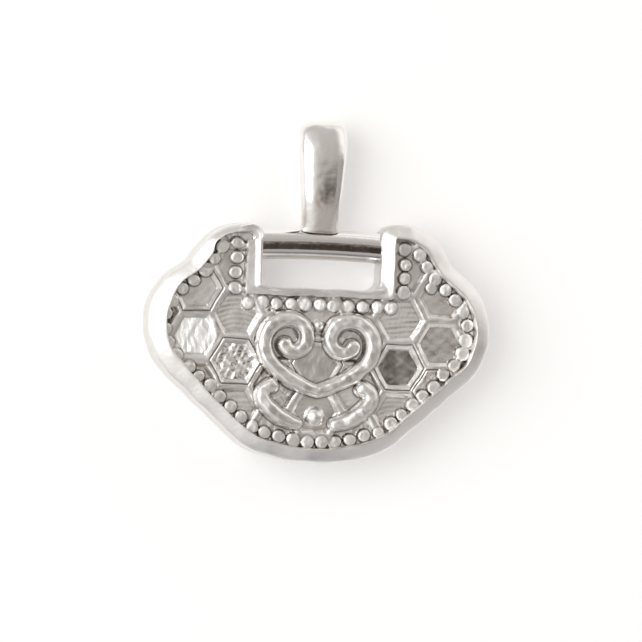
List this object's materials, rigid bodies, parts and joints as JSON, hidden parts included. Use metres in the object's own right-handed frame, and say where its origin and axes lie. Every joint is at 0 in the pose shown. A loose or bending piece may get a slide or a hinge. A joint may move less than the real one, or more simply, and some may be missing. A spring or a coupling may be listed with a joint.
{
  "type": "longevity lock pendant",
  "caption": "Small cast silver lock-shaped pendant with a bead border, raised honeycomb and cloud scroll, a crossbar over a window and a tall domed bail.",
  "frame": {"origin": "middle of the pendant's outline, at the back face it lies on", "axes": "+X to the wearer's left along the crossbar (right in the picture), +Y from the lock towards the bail, +Z out of the decorated face"},
  "size_m": [0.0202, 0.02, 0.003],
  "materials": {
    "cast_silver": "polished cast silver, brushed in the honeycomb's cells",
    "polished_silver": "mirror-polished silver"
  },
  "bodies": {
    "root": {"lock_body": "cast_silver", "crossbar_bail": "polished_silver"}
  },
  "joints": []
}
